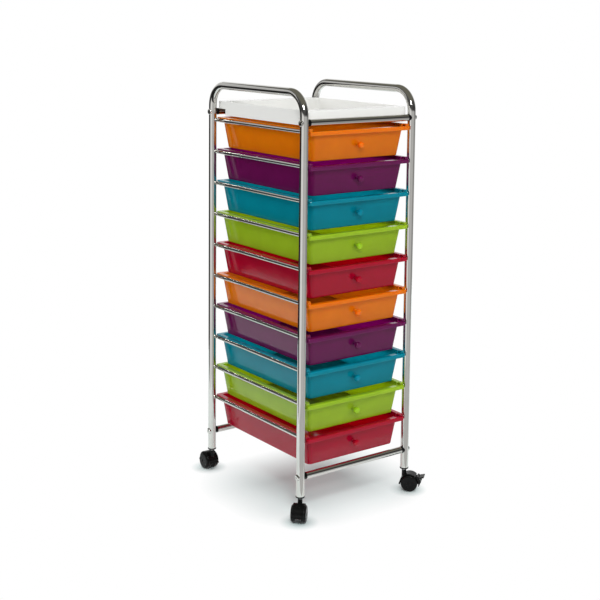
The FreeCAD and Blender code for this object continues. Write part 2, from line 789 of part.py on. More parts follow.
def make_knob(label):
    body = new_body(label)
    outline = new_sketch(body, f"{label}_outline", "XZ_Plane")
    bore = total(SCREW_RADIUS, cell("screw_fit"))
    neck_start = cell("knob_base_thickness")
    head_start = total(neck_start, cell("knob_neck_length"))
    head_end = total(head_start, cell("knob_head_length"))
    draw_stepped(
        outline,
        [
            (bore, "0", None),
            (half("knob_base_diameter"), "0", None),
            (half("knob_base_diameter"), neck_start, None),
            (half("knob_neck_diameter"), neck_start, None),
            (half("knob_neck_diameter"), head_start, None),
            (half("knob_head_diameter"), head_start, cell("knob_back_round")),
            (half("knob_head_diameter"), head_end, cell("knob_front_round")),
            ("0", head_end, None),
            ("0", SCREW_END, None),
            (bore, SCREW_END, None),
        ],
    )
    revolve(body, outline, "V_Axis")
    return body


def make_screw(label):
    body = new_body(label)
    outline = new_sketch(body, f"{label}_outline", "XZ_Plane")
    seat = mirrored("-1", WALL_SQUARE)
    head_top = less(seat, cell("screw_head_height"))
    draw_stepped(
        outline,
        [
            ("0", head_top, None),
            (half("screw_head_diameter"), head_top, None),
            (half("screw_head_diameter"), seat, None),
            (SCREW_RADIUS, seat, None),
            (SCREW_RADIUS, cell("screw_grip"), None),
            ("0", cell("screw_grip"), None),
        ],
    )
    revolve(body, outline, "V_Axis")
    return body


for index in range(DRAWER_COUNT):
    name = f"drawer_{index + 1:02d}"
    rim_height = total(rail_height(index), RAIL_RADIUS, cell("slide_room"))
    bin_body = make_bin(f"{name}_bin")
    place(bin_body, high=rim_height)
    nodes.append(bin_body)
    knob_height = less(rim_height, cell("knob_drop"))
    for piece in (make_knob(f"{name}_knob"), make_screw(f"{name}_screw")):
        place(piece, deep=KNOB_FRONT, high=knob_height, axis=RIGHT, turn=KNOB_TURN)
        nodes.append(piece)

# Leg sockets: flanged plastic sleeves in the leg ends, with their own height 0 at the leg's end

STEM_RADIUS = half("stem_diameter")
socket = new_body("leg_socket")
socket_outline = new_sketch(socket, "socket_outline", "XZ_Plane")
socket_bore = total(STEM_RADIUS, cell("stem_fit"))
socket_sleeve = less(TUBE_BORE, cell("socket_fit"))
flange_bottom = mirrored("-1", cell("socket_flange_thickness"))
draw_stepped(
    socket_outline,
    [
        (socket_bore, flange_bottom, None),
        (half("socket_flange_diameter"), flange_bottom, cell("socket_flange_round")),
        (half("socket_flange_diameter"), "0", None),
        (socket_sleeve, "0", None),
        (socket_sleeve, cell("socket_depth"), None),
        (socket_bore, cell("socket_depth"), None),
    ],
)
revolve(socket, socket_outline, "V_Axis")

# Caster stems: steel pins with a collar under the socket; the caster's neck turns on the lower end

stem = new_body("caster_stem")
stem_outline = new_sketch(stem, "stem_outline", "XZ_Plane")
collar_bottom = less(flange_bottom, cell("stem_collar_height"))
stem_bottom = less(collar_bottom, cell("stem_reach"))
draw_stepped(
    stem_outline,
    [
        ("0", stem_bottom, None),
        (STEM_RADIUS, stem_bottom, None),
        (STEM_RADIUS, collar_bottom, None),
        (half("stem_collar_diameter"), collar_bottom, None),
        (half("stem_collar_diameter"), flange_bottom, None),
        (STEM_RADIUS, flange_bottom, None),
        (STEM_RADIUS, cell("stem_depth"), None),
        ("0", cell("stem_depth"), None),
    ],
)
revolve(stem, stem_outline, "V_Axis")
sockets = []
stems = []
for end, end_sign in ENDS.items():
    for side, side_sign in SIDES.items():
        spot = {"across": mirrored(side_sign, LEG_X), "deep": mirrored(end_sign, LEG_Y)}
        spot["high"] = cell("leg_bottom")
        sockets.append(copy_of(socket, f"socket_{end}_{side}", **spot))
        stems.append(copy_of(stem, f"stem_{end}_{side}", **spot))
nodes.append(group("leg_sockets", sockets))
nodes.append(group("caster_stems", stems))

# Casters: own origin at the middle of the axle, own +X the way the caster trails from its stem

WHEEL_RADIUS = half("wheel_diameter")
NECK_RADIUS = half("neck_diameter")
AXLE_RADIUS = half("axle_diameter")
HOOD_BORE = total(WHEEL_RADIUS, cell("hood_room"))
HOOD_RADIUS = total(HOOD_BORE, cell("hood_thickness"))
HALF_WEB = half("web_thickness")
NECK_TOP = less(
    cell("leg_bottom"),
    cell("socket_flange_thickness"),
    cell("stem_collar_height"),
    cell("swivel_room"),
    WHEEL_RADIUS,
)
WHEEL_INNER = total(NECK_RADIUS, cell("wheel_neck_room"))
WHEEL_OUTER = total(WHEEL_INNER, cell("wheel_width"))
AXLE_END = total(WHEEL_INNER, cell("axle_depth"))
PIVOT_OUT = total(HOOD_RADIUS, cell("pivot_lift"))
PIVOT_X = f"({PIVOT_OUT} * sin({cell('pivot_angle')} * 1 deg))"
PIVOT_Z = f"({PIVOT_OUT} * cos({cell('pivot_angle')} * 1 deg))"


def add_bumper(body, label, sign):
    """Add a notched bumper along the lower edge of one end of a hood."""
    bumper_inner = mirrored(sign, HOOD_BORE)
    bumper_outer = mirrored(sign, total(HOOD_RADIUS, cell("bumper_depth")))
    bumper_low = mirrored("-1", cell("bumper_height"))
    bumper = new_sketch(body, f"{label}_bumper", "XZ_Plane")
    draw_stepped(
        bumper,
        [
            (bumper_outer, bumper_low, half("bumper_depth")),
            (bumper_inner, bumper_low, None),
            (bumper_inner, "0", None),
            (bumper_outer, "0", half("bumper_depth")),
        ],
    )
    extrude(body, "Pad", bumper, cell("hood_width"), both_sides=True)
    notch = new_sketch(body, f"{label}_notch", "XY_Plane", bumper_low)
    draw_circle(notch, bumper_outer, "0", half("bumper_notch"))
    extrude(body, "Pocket", notch, cell("bumper_height"), reverse=True)


def make_hood(label, braked):
    """Make the moulded body: a hood over the wheels, a web between them and the swivel neck."""
    body = new_body(label)
    back_angle = cell("braked_hood_back_angle" if braked else "hood_back_angle")
    web = new_sketch(body, f"{label}_web", "YZ_Plane")
    draw_stepped(
        web,
        [
            (mirrored("-1", HALF_WEB), "0", None),
            (HALF_WEB, "0", None),
            (HALF_WEB, total(HOOD_BORE, half("hood_thickness")), None),
            (mirrored("-1", HALF_WEB), total(HOOD_BORE, half("hood_thickness")), None),
        ],
    )
    revolve(body, web, "H_Axis", cell("hood_back_angle"), cell("hood_front_angle"))
    boss = new_sketch(body, f"{label}_boss", "XZ_Plane")
    draw_circle(boss, "0", "0", half("boss_diameter"))
    extrude(body, "Pad", boss, cell("web_thickness"), both_sides=True)
    shell = new_sketch(body, f"{label}_shell", "YZ_Plane")
    draw_stepped(
        shell,
        [
            (mirrored("-1", half("hood_width")), HOOD_BORE, None),
            (half("hood_width"), HOOD_BORE, None),
            (half("hood_width"), HOOD_RADIUS, cell("hood_edge")),
            (mirrored("-1", half("hood_width")), HOOD_RADIUS, cell("hood_edge")),
        ],
    )
    revolve(body, shell, "H_Axis", back_angle, cell("hood_front_angle"))
    neck = new_sketch(body, f"{label}_neck", "XY_Plane", mirrored("-1", cell("neck_foot")))
    draw_circle(neck, mirrored("-1", cell("caster_trail")), "0", NECK_RADIUS)
    extrude(body, "Pad", neck, total(NECK_TOP, cell("neck_foot")))
    add_bumper(body, f"{label}_front", "-1")
    if braked:
        ear = new_sketch(body, f"{label}_ear", "XZ_Plane")
        draw_circle(ear, PIVOT_X, PIVOT_Z, half("knuckle_diameter"))
        extrude(body, "Pad", ear, cell("web_thickness"), both_sides=True)
        pivot_hole = new_sketch(body, f"{label}_pivot_hole", "XZ_Plane")
        draw_circle(pivot_hole, PIVOT_X, PIVOT_Z, total(half("pivot_diameter"), cell("pivot_fit")))
        extrude(body, "Pocket", pivot_hole, f"2 * {cell('web_thickness')}", both_sides=True)
    else:
        add_bumper(body, f"{label}_back", "1")
    stem_hole = new_sketch(body, f"{label}_stem_hole", "XY_Plane", NECK_TOP)
    draw_circle(stem_hole, mirrored("-1", cell("caster_trail")), "0", total(STEM_RADIUS, cell("stem_fit")))
    extrude(body, "Pocket", stem_hole, cell("stem_reach"))
    axle_hole = new_sketch(body, f"{label}_axle_hole", "XZ_Plane")
    draw_circle(axle_hole, "0", "0", total(AXLE_RADIUS, cell("axle_fit")))
    extrude(body, "Pocket", axle_hole, f"2 * {cell('web_thickness')}", both_sides=True)
    return body


def make_axle(label):
    body = new_body(label)
    section = new_sketch(body, f"{label}_section", "XZ_Plane")
    draw_circle(section, "0", "0", AXLE_RADIUS)
    extrude(body, "Pad", section, f"2 * {less(AXLE_END, cell('axle_end_room'))}", both_sides=True)
    return body


def make_wheel(label, sign):
    """Make one of the pair: a tread with a rounded outer shoulder, a hub and a blind axle bore."""
    body = new_body(label)
    outline = new_sketch(body, f"{label}_outline", "YZ_Plane")
    bore = total(AXLE_RADIUS, cell("axle_fit"))
    hub_face = total(HALF_WEB, cell("hub_room"))
    dimple_floor = less(WHEEL_OUTER, cell("wheel_dimple_depth"))
    corners = [
        (hub_face, bore, None),
        (hub_face, half("hub_diameter"), None),
        (WHEEL_INNER, half("hub_diameter"), None),
        (WHEEL_INNER, WHEEL_RADIUS, None),
        (WHEEL_OUTER, WHEEL_RADIUS, cell("wheel_shoulder")),
        (WHEEL_OUTER, half("wheel_dimple_diameter"), None),
        (dimple_floor, half("wheel_dimple_diameter"), None),
        (dimple_floor, "0", None),
        (AXLE_END, "0", None),
        (AXLE_END, bore, None),
    ]
    draw_stepped(outline, [(mirrored(sign, across), up, rounding) for across, up, rounding in corners])
    revolve(body, outline, "H_Axis")
    return body


def around_wheel(radius, angle):
    """Return a place at a radius from the axle and an angle from the top towards the trailing side."""
    return f"({radius} * sin({angle} * 1 deg))", f"({radius} * cos({angle} * 1 deg))"


def make_brake_lever(label):
    """Make the lever: a pedal, a pair of claws behind the treads, and its pivot pin."""
    body = new_body(label)
    pedal = new_sketch(body, f"{label}_pedal", "XZ_Plane")
    pedal_root = total(PIVOT_X, half("knuckle_diameter"), cell("pedal_knuckle_room"))
    pedal_end = total(PIVOT_X, cell("pedal_length"))
    pedal_low = less(PIVOT_Z, half("pedal_thickness"))
    pedal_high = total(PIVOT_Z, half("pedal_thickness"))
    draw_polygon(
        pedal,
        [
            (pedal_root, pedal_low),
            (pedal_end, total(pedal_low, cell("pedal_slope"))),
            (pedal_end, total(pedal_high, cell("pedal_slope"))),
            (pedal_root, pedal_high),
        ],
    )
    extrude(body, "Pad", pedal, cell("lever_width"), both_sides=True)
    arm_inner = total(HALF_WEB, cell("lever_room"))
    arm_width = less(half("lever_width"), arm_inner)
    middle_angle = f"(({cell('pivot_angle')} + {cell('claw_tip_angle')}) / 2)"
    root_radius = total(WHEEL_RADIUS, cell("claw_root_room"))
    tip_radius = total(WHEEL_RADIUS, cell("claw_tip_room"))
    back_radius = total(WHEEL_RADIUS, cell("claw_back_room"))
    middle_radius = f"(({root_radius} + 2 * {tip_radius}) / 3)"
    claw = new_sketch(body, f"{label}_claw", "XZ_Plane", arm_inner)
    draw_polygon(
        claw,
        [
            around_wheel(root_radius, cell("claw_root_angle")),
            around_wheel(middle_radius, middle_angle),
            around_wheel(tip_radius, cell("claw_tip_angle")),
            around_wheel(total(tip_radius, cell("claw_tip_thickness")), cell("claw_tip_angle")),
            around_wheel(back_radius, middle_angle),
            (pedal_root, pedal_high),
        ],
    )
    claw_pad = extrude(body, "Pad", claw, arm_width)
    knuckle = new_sketch(body, f"{label}_knuckle", "XZ_Plane", arm_inner)
    draw_circle(knuckle, PIVOT_X, PIVOT_Z, half("knuckle_diameter"))
    knuckle_pad = extrude(body, "Pad", knuckle, arm_width)
    doc.recompute()
    pair = body.newObject("PartDesign::Mirrored", f"{label}_pair")
    pair.Originals = [claw_pad, knuckle_pad]
    middle_plane = next(item for item in body.Origin.OriginFeatures if item.Role == "XZ_Plane")
    pair.MirrorPlane = (middle_plane, [""])
    body.Tip = pair
    pin = new_sketch(body, f"{label}_pin", "XZ_Plane")
    draw_circle(pin, PIVOT_X, PIVOT_Z, half("pivot_diameter"))
    extrude(body, "Pad", pin, cell("lever_width"), both_sides=True)
    return body


CASTERS = {
    "front_left": ("-1", "-1", False),
    "front_right": ("1", "-1", True),
    "rear_left": ("-1", "1", False),
    "rear_right": ("1", "1", True),
}
for corner, (side_sign, end_sign, braked) in CASTERS.items():
    turn = cell(f"{corner}_turn")
    name = f"caster_{corner}"
    pieces = [
        make_hood(f"{name}_hood", braked),
        make_axle(f"{name}_axle"),
        make_wheel(f"{name}_wheel_a", "-1"),
        make_wheel(f"{name}_wheel_b", "1"),
    ]
    if braked:
        pieces.append(make_brake_lever(f"{name}_brake_lever"))
    trail_x = f"{cell('caster_trail')} * cos({turn} * 1 deg)"
    trail_y = f"{cell('caster_trail')} * sin({turn} * 1 deg)"
    for piece in pieces:
        place(
            piece,
            across=total(mirrored(side_sign, LEG_X), trail_x),
            deep=total(mirrored(end_sign, LEG_Y), trail_y),
            high=WHEEL_RADIUS,
            axis=UP,
            turn=turn,
        )
        nodes.append(piece)

# Check every object and every piece, then write one file for each piece

doc.recompute()
faults = []
for item in doc.Objects:
    if "Invalid" in item.State or "Error" in item.State:
        faults.append(f"{item.Name}: {item.State}")
for node in nodes:
    if node.Shape.isNull() or not node.Shape.isValid() or not node.Shape.Solids:
        faults.append(f"{node.Label}: no valid shape")
if faults:
    raise RuntimeError("; ".join(faults))
os.makedirs("parts", exist_ok=True)
for node in nodes:
    node.Shape.exportStep(os.path.join("parts", f"{node.Label}.step"))
print(f"{len(nodes)} nodes, {sum(len(node.Shape.Solids) for node in nodes)} solids")
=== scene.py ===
"""A rolling drawer cart: chrome tube frame, white tray, ten coloured drawers and four twin-wheel casters."""

import math

import bmesh
import bpy
from mathutils import Matrix, Vector, noise


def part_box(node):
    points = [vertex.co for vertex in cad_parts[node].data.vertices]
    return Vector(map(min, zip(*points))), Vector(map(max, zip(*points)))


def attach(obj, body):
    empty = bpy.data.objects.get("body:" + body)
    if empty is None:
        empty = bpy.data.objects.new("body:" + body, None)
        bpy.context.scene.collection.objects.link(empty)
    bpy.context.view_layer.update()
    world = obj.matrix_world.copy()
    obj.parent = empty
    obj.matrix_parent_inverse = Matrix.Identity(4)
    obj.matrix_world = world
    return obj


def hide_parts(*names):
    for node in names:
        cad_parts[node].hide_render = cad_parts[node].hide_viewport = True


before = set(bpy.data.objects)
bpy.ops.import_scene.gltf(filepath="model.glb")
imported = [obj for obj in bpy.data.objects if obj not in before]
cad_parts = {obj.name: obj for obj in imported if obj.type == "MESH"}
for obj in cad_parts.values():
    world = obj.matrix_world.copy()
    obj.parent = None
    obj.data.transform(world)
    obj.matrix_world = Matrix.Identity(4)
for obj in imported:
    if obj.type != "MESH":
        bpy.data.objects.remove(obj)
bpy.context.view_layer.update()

MM = 0.001
SCENE = bpy.context.scene


# Shader helpers

def add_node(tree, kind, settings=None, **inputs):
    """Makes a node; each input takes a value or the socket that feeds it."""
    made = tree.nodes.new(kind)
    for key, value in (settings or {}).items():
        setattr(made, key, value)
    for key, value in inputs.items():
        socket = made.inputs[key.replace("_", " ")]
        if isinstance(value, bpy.types.NodeSocket):
            tree.links.new(value, socket)
        else:
            socket.default_value = value
    return made


def new_material(name):
    """An empty node material with its output; returns the material, its tree and the output node."""
    material = bpy.data.materials.new(name)
    material.use_nodes = True
    tree = material.node_tree
    tree.nodes.clear()
    return material, tree, tree.nodes.new("ShaderNodeOutputMaterial")


def object_point(tree, stretch=(1.0, 1.0, 1.0)):
    """The point on the object, in metres, scaled by stretch."""
    coords = add_node(tree, "ShaderNodeTexCoord")
    mapping = add_node(tree, "ShaderNodeMapping", Vector=coords.outputs["Object"], Scale=stretch)
    return mapping.outputs["Vector"]


def cloud(tree, point, scale, detail=3.0, roughness=0.55):
    """A soft random pattern with the given number of patches to the metre."""
    made = add_node(
        tree, "ShaderNodeTexNoise", Vector=point, Scale=scale, Detail=detail, Roughness=roughness
    )
    return made.outputs["Fac"]


def spread(tree, value, low, high, start=0.3, end=0.7):
    """Maps the range start to end of a pattern to low to high."""
    made = add_node(
        tree, "ShaderNodeMapRange", {"clamp": True},
        Value=value, From_Min=start, From_Max=end, To_Min=low, To_Max=high,
    )
    return made.outputs["Result"]


def blend_colours(tree, factor, first, second):
    """A colour that goes from first to second as the factor goes from 0 to 1."""
    made = add_node(tree, "ShaderNodeMix", {"data_type": "RGBA"})
    for index, value in ((0, factor), (6, first), (7, second)):
        if isinstance(value, bpy.types.NodeSocket):
            tree.links.new(value, made.inputs[index])
        else:
            made.inputs[index].default_value = value if index == 0 else (*value, 1.0)
    return made.outputs[2]


def rounded_normal(tree, radius):
    """The surface's direction with its sharp edges eased by the radius."""
    return add_node(tree, "ShaderNodeBevel", {"samples": 4}, Radius=radius).outputs["Normal"]


def edge_mask(tree, radius):
    """1 on sharp edges and 0 on open faces."""
    geometry = add_node(tree, "ShaderNodeNewGeometry")
    aligned = add_node(tree, "ShaderNodeVectorMath", {"operation": "DOT_PRODUCT"})
    tree.links.new(rounded_normal(tree, radius), aligned.inputs[0])
    tree.links.new(geometry.outputs["Normal"], aligned.inputs[1])
    return spread(tree, aligned.outputs["Value"], 1.0, 0.0, 0.80, 0.99)


def relief(tree, height, depth, strength, normal=None):
    """A fine relief of the given depth in metres."""
    inputs = {"Height": height, "Distance": depth, "Strength": strength}
    if normal is not None:
        inputs["Normal"] = normal
    return add_node(tree, "ShaderNodeBump", **inputs).outputs["Normal"]


def scaled(colour, factor):
    return tuple(min(1.0, channel * factor) for channel in colour)


def lighter(colour, share):
    return tuple(channel + (1.0 - channel) * share for channel in colour)


def vivid(colour):
    """The colour at full strength, with its weaker channels raised."""
    return tuple(math.sqrt(channel / max(colour)) for channel in colour)


# Materials

MOTTLE_SCALE = 22.0
MARK_SCALE = 34.0
MARK_STRETCH = (1.0, 1.0, 2.5)
SKIN_SCALE = 1400.0
SKIN_DEPTH = 0.02 * MM
SKIN_STRENGTH = 0.25
WORN_EDGE = 0.9 * MM
EASED_EDGE = 0.6 * MM
PALER_EDGE = 0.35
LIGHT_REACH = 32.0 * MM
LIGHT_FORWARD = 0.6
WHITER_REACH = 0.2


def plastic(name, colour, gloss=(0.06, 0.12), specular=0.40, inner=0.0, worn=0.12, mottle=0.045):
    """Moulded plastic: slight mottling, a faint moulded skin, hand marks in the gloss and paler edges."""
    material, tree, output = new_material(name)
    point = object_point(tree)
    patches = spread(tree, cloud(tree, point, MOTTLE_SCALE), 0.0, 1.0)
    mottled = blend_colours(tree, patches, scaled(colour, 1.0 - mottle), scaled(colour, 1.0 + mottle))
    edges = spread(tree, edge_mask(tree, WORN_EDGE), 0.0, worn, 0.0, 1.0)
    tone = blend_colours(tree, edges, mottled, lighter(colour, PALER_EDGE))
    marks = spread(tree, cloud(tree, object_point(tree, MARK_STRETCH), MARK_SCALE, 5.0), *gloss)
    pores = cloud(tree, point, SKIN_SCALE, 2.0)
    skin = relief(tree, pores, SKIN_DEPTH, SKIN_STRENGTH, rounded_normal(tree, EASED_EDGE))
    shader = add_node(
        tree, "ShaderNodeBsdfPrincipled",
        Base_Color=tone, Roughness=marks, Specular_IOR_Level=specular, Normal=skin,
    )
    if inner:
        shader.inputs["Subsurface Weight"].default_value = inner
        shader.inputs["Subsurface Radius"].default_value = lighter(vivid(colour), WHITER_REACH)
        shader.inputs["Subsurface Scale"].default_value = LIGHT_REACH
        shader.inputs["Subsurface Anisotropy"].default_value = LIGHT_FORWARD
    tree.links.new(shader.outputs["BSDF"], output.inputs["Surface"])
    return material


SMUDGE_TONE = 0.94
SCRATCH_SCALE = 260.0
SCRATCH_STRETCH = (9.0, 9.0, 0.6)
SCRATCH_DEPTH = 0.004 * MM
SCRATCH_STRENGTH = 0.15
POLISH_TO_SMUDGE = 2.3


def metal(name, colour, polish, smudge=26.0):
    """Bright metal: uneven polish, faint smudges and fine handling scratches."""
    material, tree, output = new_material(name)
    point = object_point(tree)
    smudges = cloud(tree, point, smudge, 4.0)
    tone = blend_colours(tree, spread(tree, smudges, 0.0, 1.0), scaled(colour, SMUDGE_TONE), colour)
    scratches = cloud(tree, object_point(tree, SCRATCH_STRETCH), SCRATCH_SCALE, 2.0)
    rough = spread(tree, cloud(tree, point, POLISH_TO_SMUDGE * smudge, 5.0), *polish)
    shader = add_node(
        tree, "ShaderNodeBsdfPrincipled",
        Base_Color=tone, Metallic=1.0, Roughness=rough,
        Normal=relief(tree, scratches, SCRATCH_DEPTH, SCRATCH_STRENGTH),
    )
    tree.links.new(shader.outputs["BSDF"], output.inputs["Surface"])
    return material


DUST_SCALE = 45.0
DUST_START, DUST_END = 0.45, 0.8
DUST_TONE = 0.3
GRAIN_STRENGTH = 0.5
GRAIN_WORN_EDGE = 0.8 * MM
GRAIN_EASED_EDGE = 0.5 * MM
GRAIN_WEAR = 0.25
GRAIN_WORN_TONE = 0.12
SHEEN_SCALE = 70.0
SHEEN_LEVEL = 0.13


def grained(name, colour, gloss, grain, depth, dust):
    """Black moulded plastic with a fine grain, and dust where it is touched least."""
    material, tree, output = new_material(name)
    point = object_point(tree)
    dusty = spread(tree, cloud(tree, point, DUST_SCALE, 5.0), 0.0, dust, DUST_START, DUST_END)
    tone = blend_colours(tree, dusty, colour, lighter(colour, DUST_TONE))
    edges = spread(tree, edge_mask(tree, GRAIN_WORN_EDGE), 0.0, GRAIN_WEAR, 0.0, 1.0)
    worn = blend_colours(tree, edges, tone, lighter(colour, GRAIN_WORN_TONE))
    pores = cloud(tree, point, grain, 3.0)
    skin = relief(tree, pores, depth, GRAIN_STRENGTH, rounded_normal(tree, GRAIN_EASED_EDGE))
    shader = add_node(
        tree, "ShaderNodeBsdfPrincipled",
        Base_Color=worn, Roughness=spread(tree, cloud(tree, point, SHEEN_SCALE, 4.0), *gloss),
        Specular_IOR_Level=SHEEN_LEVEL, Normal=skin,
    )
    tree.links.new(shader.outputs["BSDF"], output.inputs["Surface"])
    return material


# Name, colour and specular level of each drawer plastic, from the top drawer down
DRAWER_COLOURS = (
    ("orange_plastic", (0.98, 0.176, 0.0012), 0.34),
    ("purple_plastic", (0.124, 0.0040, 0.073), 0.34),
    ("teal_plastic", (0.0004, 0.215, 0.300), 0.18),
    ("green_plastic", (0.310, 0.53, 0.0180), 0.34),
    ("red_plastic", (0.400, 0.0012, 0.0240), 0.34),
)
INNER_GLOW = 0.55
drawer_paint = [
    plastic(name, colour, specular=shine, inner=INNER_GLOW) for name, colour, shine in DRAWER_COLOURS
]
chrome = metal("chrome_tube", (0.66, 0.65, 0.62), (0.02, 0.05))
steel = metal("bright_steel", (0.56, 0.56, 0.57), (0.18, 0.32), 60.0)
white = plastic("white_plastic", (0.84, 0.84, 0.815), (0.16, 0.24), 0.40, worn=0.03, mottle=0.012)
black = grained("black_plastic", (0.004, 0.004, 0.004), (0.14, 0.26), 900.0, 0.03 * MM, 0.015)
tyre = grained("black_wheel", (0.005, 0.005, 0.005), (0.20, 0.34), 700.0, 0.04 * MM, 0.025)


# Materials of the carried-over nodes

def paint(node, material):
    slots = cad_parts[node].data.materials
    slots.clear()
    slots.append(material)


CASTERS = ("front_left", "front_right", "rear_left", "rear_right")
DRAWERS = [f"drawer_{number:02d}" for number in range(1, 11)]
for part_name in ("left_frame_tube", "right_frame_tube", "left_drawer_rails", "right_drawer_rails",
                  "top_cross_bars", "bottom_cross_bars"):
    paint(part_name, chrome)
paint("top_tray", white)
paint("bar_end_collars", black)
paint("leg_sockets", black)
paint("caster_stems", steel)
for index, drawer in enumerate(DRAWERS):
    colour_of_drawer = drawer_paint[index % len(drawer_paint)]
    paint(f"{drawer}_bin", colour_of_drawer)
    paint(f"{drawer}_knob", colour_of_drawer)
    paint(f"{drawer}_screw", steel)
for corner in CASTERS:
    paint(f"caster_{corner}_hood", black)
    paint(f"caster_{corner}_axle", steel)
    for side in "ab":
        paint(f"caster_{corner}_wheel_{side}", tyre)
    if corner.endswith("right"):
        paint(f"caster_{corner}_brake_lever", black)


# Places taken from the frame

TUBE_RADIUS = 9.5 * MM
RAIL_RADIUS = 5.0 * MM
_, left_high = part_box("left_frame_tube")
_, right_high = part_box("right_frame_tube")
LEG_OUTER = right_high.x
LEG_X = LEG_OUTER - TUBE_RADIUS
LEG_Y = left_high.y - TUBE_RADIUS
rail_low, rail_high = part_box("left_drawer_rails")
TOP_RAIL = rail_high.z - RAIL_RADIUS
RAIL_PITCH = (rail_high.z - rail_low.z - 2 * RAIL_RADIUS) / (len(DRAWERS) - 1)
bar_heights = []
for part_name in ("top_cross_bars", "bottom_cross_bars"):
    low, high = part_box(part_name)
    bar_heights.append((low.z + high.z) / 2)


# Mesh helpers

def new_piece(name, mesh, material, body):
    """Links a mesh as a piece that rides on a body."""
    piece = bpy.data.objects.new(name, mesh)
    SCENE.collection.objects.link(piece)
    mesh.materials.clear()
    mesh.materials.append(material)
    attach(piece, body)
    return piece


def lathe(bm, profile, segments, matrix):
    """Turns a closed-ended profile of (radius, height) points about its own Z axis."""
    rings = []
    for radius, height in profile:
        if radius == 0.0:
            rings.append([bm.verts.new(matrix @ Vector((0.0, 0.0, height)))])
            continue
        ring = []
        for step in range(segments):
            angle = math.tau * step / segments
            spot = Vector((radius * math.cos(angle), radius * math.sin(angle), height))
            ring.append(bm.verts.new(matrix @ spot))
        rings.append(ring)
    for lower, upper in zip(rings, rings[1:]):
        for step in range(segments):
            after = (step + 1) % segments
            corners = [lower[step % len(lower)], lower[after % len(lower)],
                       upper[after % len(upper)], upper[step % len(upper)]]
            unique = list(dict.fromkeys(corners))
            if len(unique) > 2:
                bm.faces.new(unique)


def smooth(mesh, angle):
    """Smooth shading, with edges sharper than the angle kept crisp."""
    for face in mesh.polygons:
        face.use_smooth = True
    mesh.set_sharp_from_angle(angle=math.radians(angle))


# Cross-recessed bolts in place of the plain ones

BOLT_HEAD_RADIUS = 7.0 * MM
BOLT_HEAD_HEIGHT = 2.4 * MM
BOLT_SHANK_RADIUS = 2.5 * MM
BOLT_SHANK = 28.0 * MM
SADDLE = TUBE_RADIUS - math.sqrt(TUBE_RADIUS ** 2 - BOLT_HEAD_RADIUS ** 2)
RECESS_ARM = 2.8 * MM
RECESS_WIDTH = 0.6 * MM
RECESS_DEPTH = 1.5 * MM
RECESS_FLOOR = (0.45, 0.6)
RECESS_MOUTH = (1.25, 1.15)
BOLT_SEGMENTS = 48
BOLT_CRISP = 32
BOLT_TURN = 0.7
DOME_STEPS = 12
DOME_FULLNESS = 0.55
SLIVER = 0.002 * MM


def bolt_profile():
    """From the shank's end over the head's rim to the middle of its dome."""
    points = [(0.0, -BOLT_SHANK), (BOLT_SHANK_RADIUS, -BOLT_SHANK), (BOLT_SHANK_RADIUS, -SADDLE),
              (BOLT_HEAD_RADIUS, -SADDLE)]
    for step in range(DOME_STEPS + 1):
        angle = math.pi / 2 * step / DOME_STEPS
        radius = BOLT_HEAD_RADIUS * math.cos(angle) ** DOME_FULLNESS
        points.append((radius, BOLT_HEAD_HEIGHT * math.sin(angle)))
    points[-1] = (0.0, BOLT_HEAD_HEIGHT)
    return points


def recess_mesh():
    """A tapered cross that is cut into a bolt head."""
    bm = bmesh.new()
    for turn in (0.0, math.pi / 2):
        matrix = Matrix.Rotation(turn, 4, "Z")
        corners = []
        for height, (arm, width) in ((-RECESS_DEPTH, RECESS_FLOOR), (RECESS_DEPTH, RECESS_MOUTH)):
            for along, across in ((1, 1), (-1, 1), (-1, -1), (1, -1)):
                corners.append(bm.verts.new(matrix @ Vector((
                    along * RECESS_ARM * arm, across * RECESS_WIDTH * width, BOLT_HEAD_HEIGHT + height
                ))))
        for face in ((3, 2, 1, 0), (4, 5, 6, 7), (0, 1, 5, 4), (1, 2, 6, 5), (2, 3, 7, 6), (3, 0, 4, 7)):
            bm.faces.new([corners[i] for i in face])
    mesh = bpy.data.meshes.new("recess")
    bmesh.ops.recalc_face_normals(bm, faces=bm.faces)
    bm.to_mesh(mesh)
    bm.free()
    return mesh


def one_bolt():
    """A bolt with its axis along Z and the leg's surface at height 0."""
    bm = bmesh.new()
    lathe(bm, bolt_profile(), BOLT_SEGMENTS, Matrix.Identity(4))
    bmesh.ops.recalc_face_normals(bm, faces=bm.faces)
    mesh = bpy.data.meshes.new("bolt")
    bm.to_mesh(mesh)
    bm.free()
    body = bpy.data.objects.new("bolt_blank", mesh)
    tool = bpy.data.objects.new("bolt_tool", recess_mesh())
    for made in (body, tool):
        SCENE.collection.objects.link(made)
    cut = body.modifiers.new("recess", "BOOLEAN")
    cut.operation, cut.solver, cut.object, cut.use_self = "DIFFERENCE", "EXACT", tool, True
    result = bpy.data.meshes.new_from_object(body.evaluated_get(bpy.context.evaluated_depsgraph_get()))
    for made in (body, tool):
        bpy.data.objects.remove(made)
    return result


